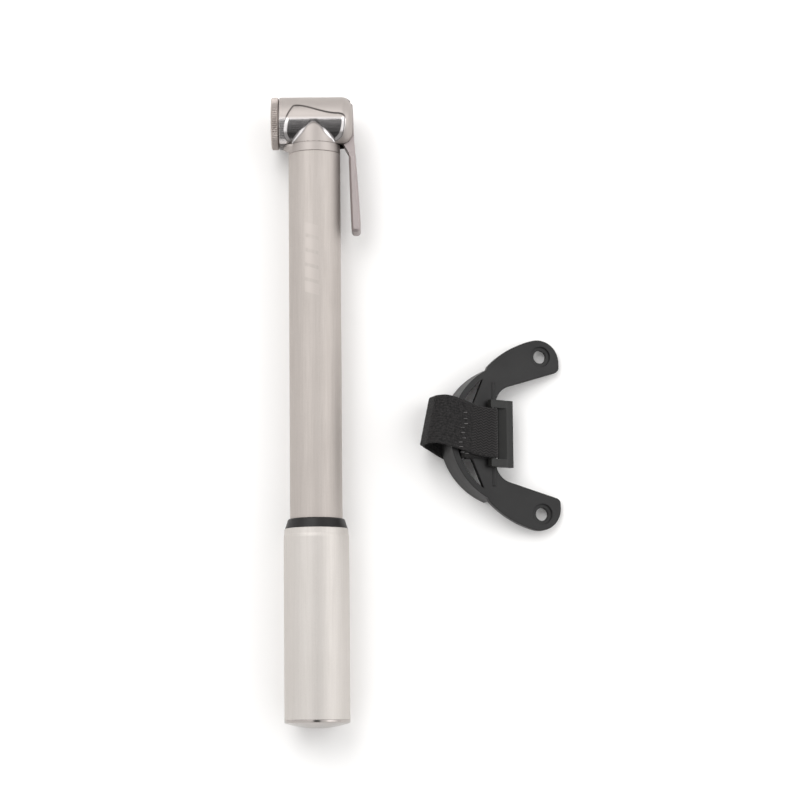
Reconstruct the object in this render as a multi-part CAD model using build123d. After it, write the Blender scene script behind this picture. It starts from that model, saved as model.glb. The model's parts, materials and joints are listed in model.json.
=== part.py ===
from build123d import *
import os
from math import cos, pi, radians, sin, sqrt, tan

# Bicycle mini pump with a thumb-lock head, lying on its side, and the strap bracket that carries it.
# Millimetres.  +Y runs along the pump towards its head, +X away from the valve mouth, +Z is up off the
# table.  The origin is on the barrel's axis, half way along the bare tube between neck and handle.

# ---------------------------------------------------------------- driving sizes: pump
bare_length = 148.5  # barrel left bare between the neck and the handle's collar
barrel_dia = 21.0
barrel_wall = 1.1
tube_edge = 0.25
sleeve_wall = 1.0
sleeve_room = 1.6  # between the barrel and the handle's sleeve that slides over it
sleeve_length = 75.9
collar_height = 4.0
end_cap_height = 3.2
end_cap_rim = 1.15
rod_dia = 8.0
piston_length = 12.0
guide_length = 9.0  # of the rod guide inside the barrel
bumper_thickness = 2.0
bumper_room = 0.5
plug_thickness = 4.0
cap_skirt = 3.0  # end cap's skirt inside the sleeve
guide_flange = 1.2
end_play = 0.9  # left where a moving end stops short of what is beyond it
rod_sunk = 5.0  # of the rod in the piston
rod_foot = 1.5  # of the rod in the handle's plug
tapped_depth = 12.0
cup_height = 4.4  # cup seal's groove, down from the piston's crown
cup_core_r = 6.4
piston_rim = 1.4
crown_r = 7.6
crown_thickness = 0.8
cup_edge = 0.5
cup_floor = 1.2
screw_head_r = 2.8
screw_sunk = 2.0
glide_width = 3.0
glide_depth = 0.9
vent_r = 1.0
vents = 3
mouth_bevel = 2.4  # at the sleeve's open end
mouth_inset = 0.42
turned_line = 0.12  # depth of the fine line below the bevel
collar_spigot = 7.0
collar_lip = 0.75  # the collar's top rim outside the barrel
screw_slot = 0.8

head_over = 0.15  # the head's horizontal body is this much larger than the barrel, in radius
head_front_over = 3.55  # barrel's side to the face that the valve cap meets
head_back_over = 5.2  # barrel's side to the rounded back end
head_back_round = 4.5
pocket_depth = 0.4  # polished recess in each flank of the head
pocket_start = 6.15  # the head's front face to the recess's top corner
pocket_left = 2.05  # the head's front face to the recess's near side
pocket_foot = 5.15  # the head's front face to the recess's lower corner
pocket_right = 2.6  # the head's back end to the recess's far side
pocket_ridge = 8.1  # the head's back end to where the recess's top edge turns level
pocket_rise = 0.9  # that level part, above the valve axis
neck_inset = 0.15  # the neck is this much inside the recess's floor
neck_ring = 2.0  # height of the plain ring at the foot of the neck
neck_gap = 0.45  # between the ring and the head's underside
spigot_length = 7.0
groove_depth = 1.3  # for the neck's seal
groove_width = 1.6
groove_rise = 2.4  # the spigot's end to the seal's groove
cap_gap = 0.3
cap_thickness = 2.95
cap_teeth = 84
tooth_depth = 0.28
cap_edge = 0.45
cap_lip = 1.5  # thickness of the cap's end wall
valve_bore = 7.8  # rubber gland's hole, for a car-type valve stem
gland_dia = 13.8
gland_edge = 0.5
washer_thickness = 0.5
chamber_dia = 14.0
cap_thread_dia = 16.0
cap_thread_length = 4.4
stem_dia = 7.0  # plunger's stem
stem_edge = 0.4
nib_r = 1.0
nib_height = 1.1
disc_thickness = 1.4
neck_of_plunger_r = 4.0
plunger_port_r = 0.65
seal_section_r = 0.38
plunger_travel = 1.6
lever_swing = 90.0
lever_reach = 45.8  # valve axis to the lever's tip
lever_width = 11.0
hub_width = 8.4
pivot_inset = 4.9  # the head's back end to the lever's pivot
cam_steps = 12
cam_base = 4.5  # pivot to the plunger's end with the lever closed
pivot_rise = 1.2  # pivot above the valve axis
hub_corner = 1.2
tip_round = 1.5
arm_thickness = 3.65
waist_out_by = 0.4  # outer face's steps out from the hub's back, going down the arm
bow_out_by = 1.75
tip_out_by = 2.8
belly_in = 1.35  # inner face's steps in from the hub's back
shoulder_in = 1.8
heel_in = 3.0
waist_drop = 8.2  # below the pivot
throat_drop = 6.6
shoulder_drop = 14.2
bend_rise = 5.5  # above the lever's tip
flare_drop = 3.4  # the arm is at its full width this far below the neck's foot
flare_height = 3.0
lever_bevel = 0.9
pin_dia = 3.0
pin_cover = 2.6  # head metal left over the pin's front end
pin_sunk = 0.75  # the pin's rear end below the head's flank
check_ball_dia = 3.6
seat_wall = 1.4
seat_height = 4.0
seat_hole_r = 1.1
check_chamber = 9.6  # the spigot's end to the roof over the ball
air_way_r = 1.2
spring_wire_r = 0.2
spring_coil_r = 1.35
spring_turns = 4
gland_back = 3.25  # barrel axis to the gland's inner face
gland_recess = 1.5  # counterbore round the plunger's nib
gland_recess_wall = 1.1
seal_height = -3.45  # the plunger's O-ring along the valve axis, in its bore over the whole travel
screw_core_r = 1.45
thread_r = 1.5

# ---------------------------------------------------------------- driving sizes: bracket
hole_spacing = 64.0  # bottle-cage bosses
hole_dia = 5.3
washer_recess_dia = 8.2
plate_thickness = 2.5
hole_to_rim = 7.6  # hole centre to the plate's outer arc, about
hole_to_mouth = 6.0  # hole centre to the jaw of the mouth
plate_centre_u = 6.1  # centre of the plate's outer arc, from the hole line
tab_end = 7.8  # hole line to the tabs' ends
wedge_top = 27.4  # each opening between plate and bow: its outer end, from the middle
wedge_start = -1.3  # and how far its edge runs from the bow's root, at its outer end
wedge_foot = -8.4  # and at the strap
mouth_back = 19.5  # hole line to the straight back of the mouth
mouth_slope = 17.0
bow_outer_r = 29.3
bow_wall = 2.4
bow_slot = 2.8  # between the plate's outer arc and the bow, at its middle
bow_depth = 14.2  # at its middle
bow_root_u = 21.2  # hole line to where the bow leaves the plate
strap_width = 20.0
strap_thickness = 1.35
strap_skew = 12.0  # degrees, of the front layer
strap_shift = 5.0  # of the front layer's middle at the bow
mouth_back_round = 8.0
tab_inner_round = 2.5
tab_outer_round = 9.0
recess_depth = 0.8
rib_r = 0.9
rib_sunk = 0.4  # the rib's axis below the plate's face
notch_room = 1.2  # the plate's notch beyond each edge of the strap
rib_from_strap = 6.5  # strap's edge to the rib's middle
rib_length = 9.0
strap_rounds = (1.1, 0.9, 1.2, 2.0, 3.0, 4.5, 3.0, 1.4, 6.0)
strap_steps = 48
skew_start = 0.34  # share of the loop's length where its front layer begins to turn askew
skew_in = 0.16
skew_out = 0.3
bar_dia = 2.2  # the buckle's bar inside the strap's fold
bar_inset = -2.6  # the bar, from the mouth's back; below 0 it lies over the plate
far_bar_inner = 4.0  # the first bar's axis to the far bar's near edge
far_bar_ridge = 7.0  # to the ridge where the far bar's slope ends
far_bar_outer = 10.4
far_bar_lip = 0.6
buckle_arm = 3.2
buckle_reach = 8.9  # length of its side arms
buckle_hang = 22.0  # degrees below the plate's face
bracket_tilt = 17.0  # it rests on its bow and its tabs
bracket_x = 91.0  # hole line, from the pump's axis
bracket_y = -40.3

# ---------------------------------------------------------------- clearances
hair = 0.01  # a ring that only just clears its bore
over = 1.0  # how far a cutting shape runs past what it cuts
slip = 0.15  # plastic or rubber sliding in a tube
running = 0.06  # shaft in its bore, per side
side_gap = 0.3  # lever hub in its slot, per side
contact_gap = 0.05  # pieces that rest against each other but move apart

# ---------------------------------------------------------------- derived places
barrel_r = barrel_dia / 2
bore_r = barrel_r - barrel_wall
sleeve_bore_r = barrel_r + sleeve_room
sleeve_r = sleeve_bore_r + sleeve_wall
rod_r = rod_dia / 2
head_r = barrel_r + head_over
head_front = barrel_r + head_front_over
head_back = barrel_r + head_back_over
neck_drop = head_r + neck_gap + neck_ring
pivot_x = head_back - pivot_inset
cam_face = pivot_x - contact_gap - cam_base  # plunger's end, from the barrel axis, at rest
stem_r = stem_dia / 2
pin_r = pin_dia / 2
gland_r = gland_dia / 2
chamber_r = chamber_dia / 2
ball_r = check_ball_dia / 2
seat_r = ball_r + seat_wall
cone_r = ball_r + slip
pin_front_z = head_r - pin_cover
cap_inner_face = head_front + cap_gap + cap_thickness - cap_lip

neck_y = bare_length / 2
valve_y = neck_y + neck_drop
collar_y = -bare_length / 2
sleeve_top_y = collar_y - collar_height
sleeve_end_y = sleeve_top_y - sleeve_length
plug_low_y = sleeve_end_y + cap_skirt
plug_top_y = plug_low_y + plug_thickness
barrel_end_y = plug_top_y + end_play + guide_flange
bumper_y = barrel_end_y + guide_length + bumper_thickness
spigot_y = neck_y - spigot_length
seat_top_y = spigot_y + seat_height
check_top_y = spigot_y + check_chamber
ball_touch_r = ball_r * cos(pi / 4)  # where the ball meets its 45 degree seat
ball_rest_y = seat_top_y - cone_r + 2 * ball_touch_r + contact_gap
crown_y = spigot_y - end_play
piston_foot_y = crown_y - piston_length
stroke = piston_foot_y - bumper_y - end_play

cam_rise = plunger_travel / radians(lever_swing)  # mm of lift per radian of lever
table_z = -sleeve_r

plate_outer_r = hole_spacing / 2 + hole_to_rim
mouth_half = hole_spacing / 2 - hole_to_mouth
bow_centre_u = plate_centre_u - plate_outer_r - bow_slot - bow_wall + bow_outer_r
buckle_height = strap_width + 2 * (side_gap + buckle_arm)

tilt = radians(bracket_tilt)
bracket_z = table_z + tab_end * sin(tilt) + plate_thickness * cos(tilt)
bracket_plane = Plane(
    origin=(bracket_x, bracket_y, bracket_z),
    x_dir=(cos(tilt), 0, -sin(tilt)),
    z_dir=(sin(tilt), 0, cos(tilt)),
)


# ---------------------------------------------------------------- helpers
def turned(*outline):
    """A closed (radius, height) outline turned about the Y axis."""
    return revolve(make_face(Polyline(*outline, close=True)), Axis.Y)


def tube(outer, inner, low, high):
    """A plain ring about the Y axis between two heights."""
    return turned((inner, low), (outer, low), (outer, high), (inner, high))


def rod(radius, low, high):
    """A plain round bar about the Y axis between two heights."""
    return turned((0, low), (radius, low), (radius, high), (0, high))


def o_ring(radius, section_r, height):
    """A rubber ring about the Y axis."""
    return Pos(0, height, 0) * Rot(90, 0, 0) * Torus(radius, section_r)


def on_valve_axis(shape):
    """Puts a shape turned about Y on the valve axis, its +Y pointing out of the valve mouth."""
    return Pos(0, valve_y, 0) * Rot(0, 0, 90) * shape


def side_prism(outline, half_width):
    """An outline in the XY plane, made a face and given a width about z = 0."""
    return extrude(make_face(outline), half_width, both=True)


# ---------------------------------------------------------------- barrel and head
def make_barrel():
    """Drawn tube; both ends lightly chamfered."""
    return turned(
        (bore_r, barrel_end_y),
        (barrel_r - tube_edge, barrel_end_y),
        (barrel_r, barrel_end_y + tube_edge),
        (barrel_r, neck_y - tube_edge),
        (barrel_r - tube_edge, neck_y),
        (bore_r, neck_y),
    )


def pocket_outline():
    """The polished recess on the head's flank, seen from the side, about the valve axis."""
    below = -(head_r + neck_gap)
    top_left = (pocket_start - head_front, 0.48 * head_r)
    left_mid = (pocket_left - head_front, -0.32 * head_r)
    left_foot = (pocket_foot - head_front, below)
    right_foot = (head_back - pivot_inset, below)
    right_mid = (head_back - pocket_right, -0.4 * head_r)
    right_top = (head_back - pocket_right - 0.5, pocket_rise)
    ridge_end = (head_back - pocket_ridge, pocket_rise)
    return (
        ThreePointArc(top_left, left_mid, left_foot)
        + Line(left_foot, right_foot)
        + ThreePointArc(right_foot, right_mid, right_top)
        + Line(right_top, ridge_end)
        + Line(ridge_end, top_left)
    )


def lever_slot():
    """Room for the lever's hub and arm, open at the back and underneath."""
    wall_x = cam_face - plunger_travel - 3 * contact_gap
    reach = hub_corner_radius() + side_gap
    top = pivot_rise + reach
    foot_x = barrel_r + side_gap
    outline = Polyline(
        (wall_x, top),
        (wall_x, -plunger_travel),
        (foot_x, -head_r - neck_gap),
        (foot_x, -neck_drop - over),
        (head_back + over, -neck_drop - over),
        (head_back + over, top),
        close=True,
    )
    return Pos(0, valve_y, 0) * side_prism(outline, hub_width / 2 + side_gap)


def make_head_body():
    """Cast head: horizontal body, neck, spigot, flank pockets, and the bores inside."""
    body = on_valve_axis(rod(head_r, -head_back, head_front))
    body = fillet(body.edges().filter_by(GeomType.CIRCLE).sort_by(Axis.X)[-1], head_back_round)
    body = chamfer(body.edges().filter_by(GeomType.CIRCLE).sort_by(Axis.X)[0], tube_edge)
    neck_r = head_r - pocket_depth - neck_inset
    ring_top = neck_y + neck_ring
    neck = rod(neck_r, neck_y + neck_ring / 2, valve_y) + rod(barrel_r, neck_y, ring_top)
    floor = on_valve_axis(rod(head_r - pocket_depth, -head_back - over, head_front + over))
    pocket = Pos(0, valve_y, 0) * extrude(make_face(pocket_outline()), head_r + over, both=True)
    body = body - (pocket - floor)
    body = body + neck
    body = body + rod(bore_r, spigot_y, neck_y)
    groove_low = spigot_y + groove_rise
    body = body - tube(bore_r + over, bore_r - groove_depth, groove_low, groove_low + groove_width)
    body = body - on_valve_axis(rod(chamber_r, -nib_r, head_front + over))
    thread_low = head_front - cap_thread_length - slip
    body = body - on_valve_axis(rod(cap_thread_dia / 2 + slip, thread_low, head_front + over))
    body = body - on_valve_axis(rod(stem_r + running, -head_back, 0))
    body = body - lever_slot()
    air_way = Pos(-nib_r, 0, 0) * rod(air_way_r, check_top_y - tube_edge, valve_y - chamber_r + over)
    body = body - air_way - rod(seat_r, spigot_y - over, check_top_y)
    pin_hole = Pos(pivot_x, valve_y + pivot_rise, -head_r - over) * Cylinder(
        pin_r, head_r + over + pin_front_z, align=(Align.CENTER, Align.CENTER, Align.MIN)
    )
    return body - pin_hole


def make_lever_pin():
    """Driven in from the rear flank; it stops inside the front one."""
    back_z = -head_r + pin_sunk
    return Pos(pivot_x, valve_y + pivot_rise, back_z) * Cylinder(
        pin_r, pin_front_z - slip - back_z, align=(Align.CENTER, Align.CENTER, Align.MIN)
    )


def make_neck_seal():
    section_r = (groove_depth - 2 * hair) / 2
    return o_ring(bore_r - section_r - hair, section_r, spigot_y + groove_rise + groove_width / 2)


# ---------------------------------------------------------------- check valve in the neck
def make_check_seat():
    """Brass insert with a conical seat, pressed up into the spigot."""
    return turned(
        (seat_hole_r, spigot_y),
        (seat_r, spigot_y),
        (seat_r, seat_top_y),
        (cone_r, seat_top_y),
        (seat_hole_r, seat_top_y - (cone_r - seat_hole_r)),
    )


def make_check_ball():
    return Pos(0, ball_rest_y, 0) * Sphere(ball_r)


def make_check_spring():
    """Light coil between the ball and the roof of its chamber."""
    low = ball_rest_y + sqrt(ball_r**2 - spring_coil_r**2) + spring_wire_r + slip
    height = check_top_y - low - spring_wire_r - 2 * contact_gap
    path = Helix(pitch=height / spring_turns, height=height, radius=spring_coil_r)
    section = Plane(origin=path @ 0, z_dir=path % 0) * Circle(spring_wire_r)
    coil = sweep(section, path=path, is_frenet=True)
    return Pos(0, low, 0) * Rot(-90, 0, 0) * coil


# ---------------------------------------------------------------- valve end
def make_valve_gland():
    """Rubber gland that grips the stem; its back end is counterbored round the plunger's nib."""
    front = cap_inner_face - washer_thickness - slip
    hole_r = valve_bore / 2
    return on_valve_axis(
        turned(
            (hole_r, gland_back + gland_recess),
            (hole_r + gland_recess_wall, gland_back + gland_recess),
            (hole_r + gland_recess_wall, gland_back),
            (gland_r, gland_back),
            (gland_r, front - gland_edge),
            (gland_r - gland_edge, front),
            (hole_r, front),
        )
    )


def make_cap_washer():
    """Slippery washer that lets the cap turn on the gland."""
    front = cap_inner_face - contact_gap
    return on_valve_axis(tube(gland_r, valve_bore / 2 + gland_edge, front - washer_thickness, front))


def knurl_outline(radius, depth, teeth):
    """Saw-tooth ring: crests at the full radius, roots one depth below it."""
    points = []
    for tooth in range(teeth):
        for share, r in ((0.0, radius - depth), (0.35, radius), (0.65, radius)):
            a = 2 * pi * (tooth + share) / teeth
            points.append((r * cos(a), r * sin(a)))
    return Polyline(*points, close=True)


def make_valve_cap():
    """Knurled cap with a threaded skirt that closes the gland's chamber."""
    low = head_front + cap_gap
    high = low + cap_thickness
    skirt_low = head_front - cap_thread_length
    hole_r = valve_bore / 2 + cap_edge
    blank = turned(
        (hole_r, low),
        (head_r - cap_edge, low),
        (head_r, low + cap_edge),
        (head_r, high - cap_edge),
        (head_r - cap_edge, high),
        (hole_r + cap_edge, high),
        (hole_r, high - cap_edge),
    )
    toothed = Rot(-90, 0, 0) * extrude(make_face(knurl_outline(head_r, tooth_depth, cap_teeth)), high + over)
    cap = blank & toothed
    skirt_bore = chamber_r + contact_gap
    cap = cap + tube(cap_thread_dia / 2, skirt_bore, skirt_low, low)
    cap = cap - rod(skirt_bore, skirt_low - over, cap_inner_face)
    return on_valve_axis(cap)


def make_gland_plunger():
    """Slides towards the valve when the lever's cam pushes its stem, and squeezes the gland."""
    face = gland_back - contact_gap
    disc_back = face - disc_thickness
    shoulder = -disc_thickness / 2
    groove_r = stem_r - 2 * seal_section_r
    groove_half = seal_section_r + slip
    hollow_r = neck_of_plunger_r - nib_r
    plunger = turned(
        (0, -cam_face),
        (stem_r - stem_edge, -cam_face),
        (stem_r, -cam_face + stem_edge),
        (stem_r, seal_height - groove_half),
        (groove_r, seal_height - groove_half),
        (groove_r, seal_height + groove_half),
        (stem_r, seal_height + groove_half),
        (stem_r, shoulder),
        (neck_of_plunger_r, shoulder),
        (neck_of_plunger_r, disc_back),
        (chamber_r - slip, disc_back),
        (chamber_r - slip, face),
        (hollow_r, face),
        (hollow_r, face - stem_edge),
        (nib_r, face - stem_edge),
        (nib_r, face + nib_height),
        (0, face + nib_height),
    )
    inlet = Pos(0, nib_r, 0) * Cylinder(plunger_port_r, 2 * (neck_of_plunger_r + over))
    outlet = Pos((nib_r + hollow_r) / 2, 0, 0) * rod(plunger_port_r, nib_r, face + over)
    return on_valve_axis(plunger - inlet - outlet)


def make_plunger_seal():
    """O-ring in the plunger's groove."""
    middle_r = stem_r + running - hair - seal_section_r
    return on_valve_axis(o_ring(middle_r, seal_section_r, seal_height))


# ---------------------------------------------------------------- thumb lever
def cam_point(turn):
    """Involute cam about the pivot: its lift towards a flat follower grows evenly with the turn."""
    lift = cam_base + cam_rise * turn
    return (-lift * cos(turn) + cam_rise * sin(turn), lift * sin(turn) + cam_rise * cos(turn))


def hub_back():
    """Outer face of the lever, from the pivot."""
    return head_back - pivot_x + 0.1


def hub_top():
    """Flat top of the hub, from the pivot; it is the cam's far end once the lever is open."""
    return cam_base + plunger_travel


def hub_corner_radius():
    """The hub's rounded top corner is the furthest point that has to turn inside the slot."""
    inset = hub_corner
    return sqrt((hub_back() - inset) ** 2 + (hub_top() - inset) ** 2) + inset


def lever_outline():
    """Side view about the pivot: cam, flat top, outer face, arm and rounded tip."""
    cam = [cam_point(radians(lever_swing) * step / cam_steps) for step in range(cam_steps + 1)]
    top = hub_top()
    back = hub_back()
    inset = hub_corner * (1 - cos(pi / 4))
    tip = -(lever_reach + pivot_rise)
    waist_out = (back + waist_out_by, -waist_drop)
    bend_out = (back + tip_out_by, tip + bend_rise)
    tip_out = (back + tip_out_by - hair, tip + tip_round)
    tip_low = (tip_out[0] - tip_round, tip)
    tip_in = (tip_out[0] - arm_thickness, tip + tip_round)
    shoulder = (back - shoulder_in, -shoulder_drop)
    heel = (back - heel_in, shoulder_drop * -0.86)
    chin = (-cam_base, cam_rise - plunger_travel)
    return (
        Spline(*cam, tangents=((0, 1), (1, 0)))
        + Line(cam[-1], (back - hub_corner, top))
        + ThreePointArc((back - hub_corner, top), (back - inset, top - inset), (back, top - hub_corner))
        + Line((back, top - hub_corner), waist_out)
        + ThreePointArc(waist_out, (back + bow_out_by, (waist_out[1] + bend_out[1]) / 2), bend_out)
        + Line(bend_out, tip_out)
        + ThreePointArc(
            tip_out,
            (tip_out[0] - tip_round * (1 - cos(pi / 4)), tip + tip_round * (1 - sin(pi / 4))),
            tip_low,
        )
        + Line(tip_low, (tip_in[0] + tip_round, tip))
        + ThreePointArc(
            (tip_in[0] + tip_round, tip),
            (tip_in[0] + tip_round * (1 - cos(pi / 4)), tip + tip_round * (1 - sin(pi / 4))),
            tip_in,
        )
        + ThreePointArc(tip_in, (back - belly_in, (tip + shoulder[1]) / 2), shoulder)
        + Line(shoulder, heel)
        + ThreePointArc(heel, (-over, -throat_drop), chin)
        + Line(chin, cam[0])
    )


def make_thumb_lever():
    """Cam hub inside the head's slot, widening below the head into the thumb's paddle."""
    flare_low = -(neck_drop + flare_drop)
    flare_high = flare_low + flare_height
    half_hub = hub_width / 2
    half_wide = lever_width / 2
    beyond = lever_reach + neck_drop
    plan = Polyline(
        (beyond, -half_hub),
        (beyond, half_hub),
        (flare_high, half_hub),
        (flare_low, half_wide),
        (-beyond, half_wide),
        (-beyond, -half_wide),
        (flare_low, -half_wide),
        (flare_high, -half_hub),
        close=True,
    )
    lever = side_prism(lever_outline(), half_wide)
    lever = lever & extrude(Plane.YZ * make_face(plan), beyond, both=True)
    flank_edges = lever.edges().filter_by(lambda e: abs(abs(e.center().Z) - half_wide) < hair)
    inner_edges = flank_edges.filter_by(lambda e: e.length > lever_reach / 2).sort_by(Axis.X)[:2]
    lever = chamfer(inner_edges, lever_bevel)
    lever = lever - Cylinder(pin_r + running, 2 * lever_width)
    return Pos(pivot_x, valve_y + pivot_rise, 0) * lever


# ---------------------------------------------------------------- piston, rod and rod guide
def make_piston_head():
    """Moulded piston with a groove for the cup at its crown end and one for the glide ring."""
    land = bore_r - slip
    groove_foot = piston_foot_y + piston_rim
    cup_low = crown_y - cup_height - slip
    head_y = crown_y - screw_sunk
    return turned(
        (thread_r, piston_foot_y + rod_sunk),
        (rod_r, piston_foot_y + rod_sunk),
        (rod_r, piston_foot_y),
        (land, piston_foot_y),
        (land, groove_foot),
        (land - glide_depth, groove_foot),
        (land - glide_depth, groove_foot + glide_width),
        (land, groove_foot + glide_width),
        (land, cup_low),
        (cup_core_r, cup_low),
        (cup_core_r, crown_y - crown_thickness),
        (crown_r, crown_y - crown_thickness),
        (crown_r, crown_y),
        (screw_head_r + slip, crown_y),
        (screw_head_r + slip, head_y),
        (thread_r, head_y),
    )


def make_piston_cup():
    """Rubber cup seal with its lip towards the head."""
    low = crown_y - cup_height
    high = crown_y - crown_thickness - slip
    lip = bore_r - running
    inner = cup_core_r + contact_gap
    return turned(
        (inner, low),
        (lip - cup_edge, low),
        (lip, (low + high) / 2),
        (lip, high),
        (lip - cup_edge, high),
        (crown_r + cup_edge, low + cup_floor),
        (inner, low + cup_floor),
    )


def make_glide_ring():
    """Split ring of slippery plastic that keeps the piston's foot off the tube."""
    low = piston_foot_y + piston_rim + contact_gap
    floor_r = bore_r - slip - glide_depth
    return tube(bore_r - running, floor_r + contact_gap, low, low + glide_width - 2 * contact_gap)


def screw(shank_r, head_radius, head_height, length, slot):
    """Screw along +Y with its head's top at 0 and its shank running down, and a cross slot."""
    body = rod(head_radius, -head_height, 0) + rod(shank_r, -head_height - length, -head_height)
    body = chamfer(body.edges().filter_by(GeomType.CIRCLE).sort_by(Axis.Y)[-1], tube_edge)
    span = 1.3 * head_radius
    width = 0.75 * slot
    cross = Box(span, 2 * slot, width) + Box(width, 2 * slot, span)
    return body - cross


def make_piston_screw():
    head = screw_sunk - slip
    top_y = crown_y - slip + contact_gap
    return Pos(0, top_y, 0) * screw(screw_core_r, screw_head_r, head, tapped_depth, screw_slot)


def make_piston_rod():
    """Long bar, threaded at both ends for the piston's and the handle's screws."""
    top = piston_foot_y + rod_sunk
    foot = plug_top_y - rod_foot
    bar = turned(
        (0, foot),
        (rod_r - tube_edge, foot),
        (rod_r, foot + tube_edge),
        (rod_r, top - tube_edge),
        (rod_r - tube_edge, top),
        (0, top),
    )
    piston_tap = rod(thread_r, top - tapped_depth, top + over)
    plug_tap = rod(thread_r, foot - over, foot + tapped_depth)
    return bar - piston_tap - plug_tap


def make_rod_guide():
    """Bush in the barrel's open end; three vents let air in behind the piston."""
    spigot_top = barrel_end_y + guide_length
    rim_r = barrel_r - 2 * contact_gap
    guide = turned(
        (rod_r + running, barrel_end_y - guide_flange),
        (rim_r - tube_edge, barrel_end_y - guide_flange),
        (rim_r, barrel_end_y - guide_flange + tube_edge),
        (rim_r, barrel_end_y),
        (bore_r, barrel_end_y),
        (bore_r, spigot_top),
        (rod_r + running, spigot_top),
    )
    vent_at = (rod_r + bore_r) / 2
    for turn in range(vents):
        vent = rod(vent_r, barrel_end_y - guide_flange - over, spigot_top + over)
        guide = guide - Rot(0, 360 / vents * turn, 0) * Pos(vent_at, 0, 0) * vent
    return guide


def make_rod_bumper():
    """Rubber ring that the piston meets at the end of its stroke."""
    low = barrel_end_y + guide_length + 2 * hair
    return tube(bore_r - bumper_room, rod_r + side_gap, low, low + bumper_thickness)


# ---------------------------------------------------------------- handle
def make_handle_sleeve():
    """Thin tube with a bevelled mouth and a fine turned line below the bevel."""
    mouth_r = sleeve_r - mouth_inset
    bevel_y = sleeve_top_y - mouth_bevel
    edge = 0.1
    return turned(
        (sleeve_bore_r, sleeve_end_y),
        (sleeve_r - edge, sleeve_end_y),
        (sleeve_r, sleeve_end_y + edge),
        (sleeve_r, bevel_y - mouth_bevel / 2),
        (sleeve_r - turned_line, bevel_y - 2 * edge),
        (sleeve_r - turned_line - edge, bevel_y),
        (mouth_r + edge, sleeve_top_y - 2 * edge),
        (mouth_r - edge, sleeve_top_y),
        (sleeve_bore_r, sleeve_top_y),
    )


def make_handle_collar():
    """Black guide ring: a cone outside the sleeve, a spigot inside it, sliding on the barrel."""
    inner = barrel_r + slip
    top_r = barrel_r + collar_lip
    low_r = sleeve_r - mouth_inset - 2 * contact_gap
    spigot_low = sleeve_top_y - collar_spigot
    shoulder = (top_r + tube_edge, collar_y - 3 * tube_edge)
    outline = (
        Line((inner, spigot_low), (sleeve_bore_r, spigot_low))
        + Line((sleeve_bore_r, spigot_low), (sleeve_bore_r, sleeve_top_y))
        + Line((sleeve_bore_r, sleeve_top_y), (low_r, sleeve_top_y))
        + Line((low_r, sleeve_top_y), shoulder)
        + ThreePointArc(shoulder, (top_r, collar_y - tube_edge), (top_r - 2 * tube_edge, collar_y))
        + Line((top_r - 2 * tube_edge, collar_y), (inner, collar_y))
        + Line((inner, collar_y), (inner, spigot_low))
    )
    return revolve(make_face(outline), Axis.Y)


def make_end_plug():
    """Plastic plug that ties the rod to the sleeve."""
    plug = rod(sleeve_bore_r, plug_low_y, plug_top_y)
    plug = plug - rod(rod_r, plug_top_y - rod_foot, plug_top_y + over)
    return plug - rod(thread_r, plug_low_y - over, plug_top_y)


def make_rod_screw():
    """Holds the rod to the handle's plug from below."""
    head = screw_sunk - slip
    body = screw(screw_core_r, screw_head_r, head, tapped_depth, screw_slot)
    return Pos(0, plug_low_y - head, 0) * Rot(180, 0, 0) * body


def make_end_cap():
    """Polished domed cap with a skirt pushed into the sleeve."""
    rim_y = sleeve_end_y - end_cap_rim
    low_y = sleeve_end_y - end_cap_height
    skirt_r = sleeve_bore_r - end_cap_rim
    dome_edge = sleeve_r - tube_edge
    sag = rim_y - low_y
    dome_r = (dome_edge**2 + sag**2) / (2 * sag)
    dome_centre_y = low_y + dome_r
    mid = (dome_edge / 2, dome_centre_y - sqrt(dome_r**2 - dome_edge**2 / 4))
    outline = (
        Line((0, low_y), (0, rim_y))
        + Line((0, rim_y), (skirt_r, rim_y))
        + Line((skirt_r, rim_y), (skirt_r, plug_low_y))
        + Line((skirt_r, plug_low_y), (sleeve_bore_r, plug_low_y))
        + Line((sleeve_bore_r, plug_low_y), (sleeve_bore_r, sleeve_end_y))
        + Line((sleeve_bore_r, sleeve_end_y), (sleeve_r, sleeve_end_y))
        + Line((sleeve_r, sleeve_end_y), (sleeve_r, rim_y + tube_edge))
        + Line((sleeve_r, rim_y + tube_edge), (dome_edge, rim_y))
        + ThreePointArc((dome_edge, rim_y), mid, (0, low_y))
    )
    return revolve(make_face(outline), Axis.Y)


# ---------------------------------------------------------------- bracket, strap and buckle
def bow_inner_u(v):
    """The bow's inner face, as a distance along the plate, at a height v from its middle."""
    return bow_centre_u - sqrt((bow_outer_r - bow_wall) ** 2 - v**2)


def slot_strap_u():
    """Middle of the strap where it passes between the bow and the plate."""
    return bow_inner_u(strap_width / 2) + side_gap + strap_thickness / 2


def fold_n():
    """Height of the buckle's bar above the plate's face: the fold's underside just clears it."""
    return bar_dia / 2 + running + strap_thickness + 2 * contact_gap


def fold_u():
    return bar_inset - mouth_back


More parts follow.
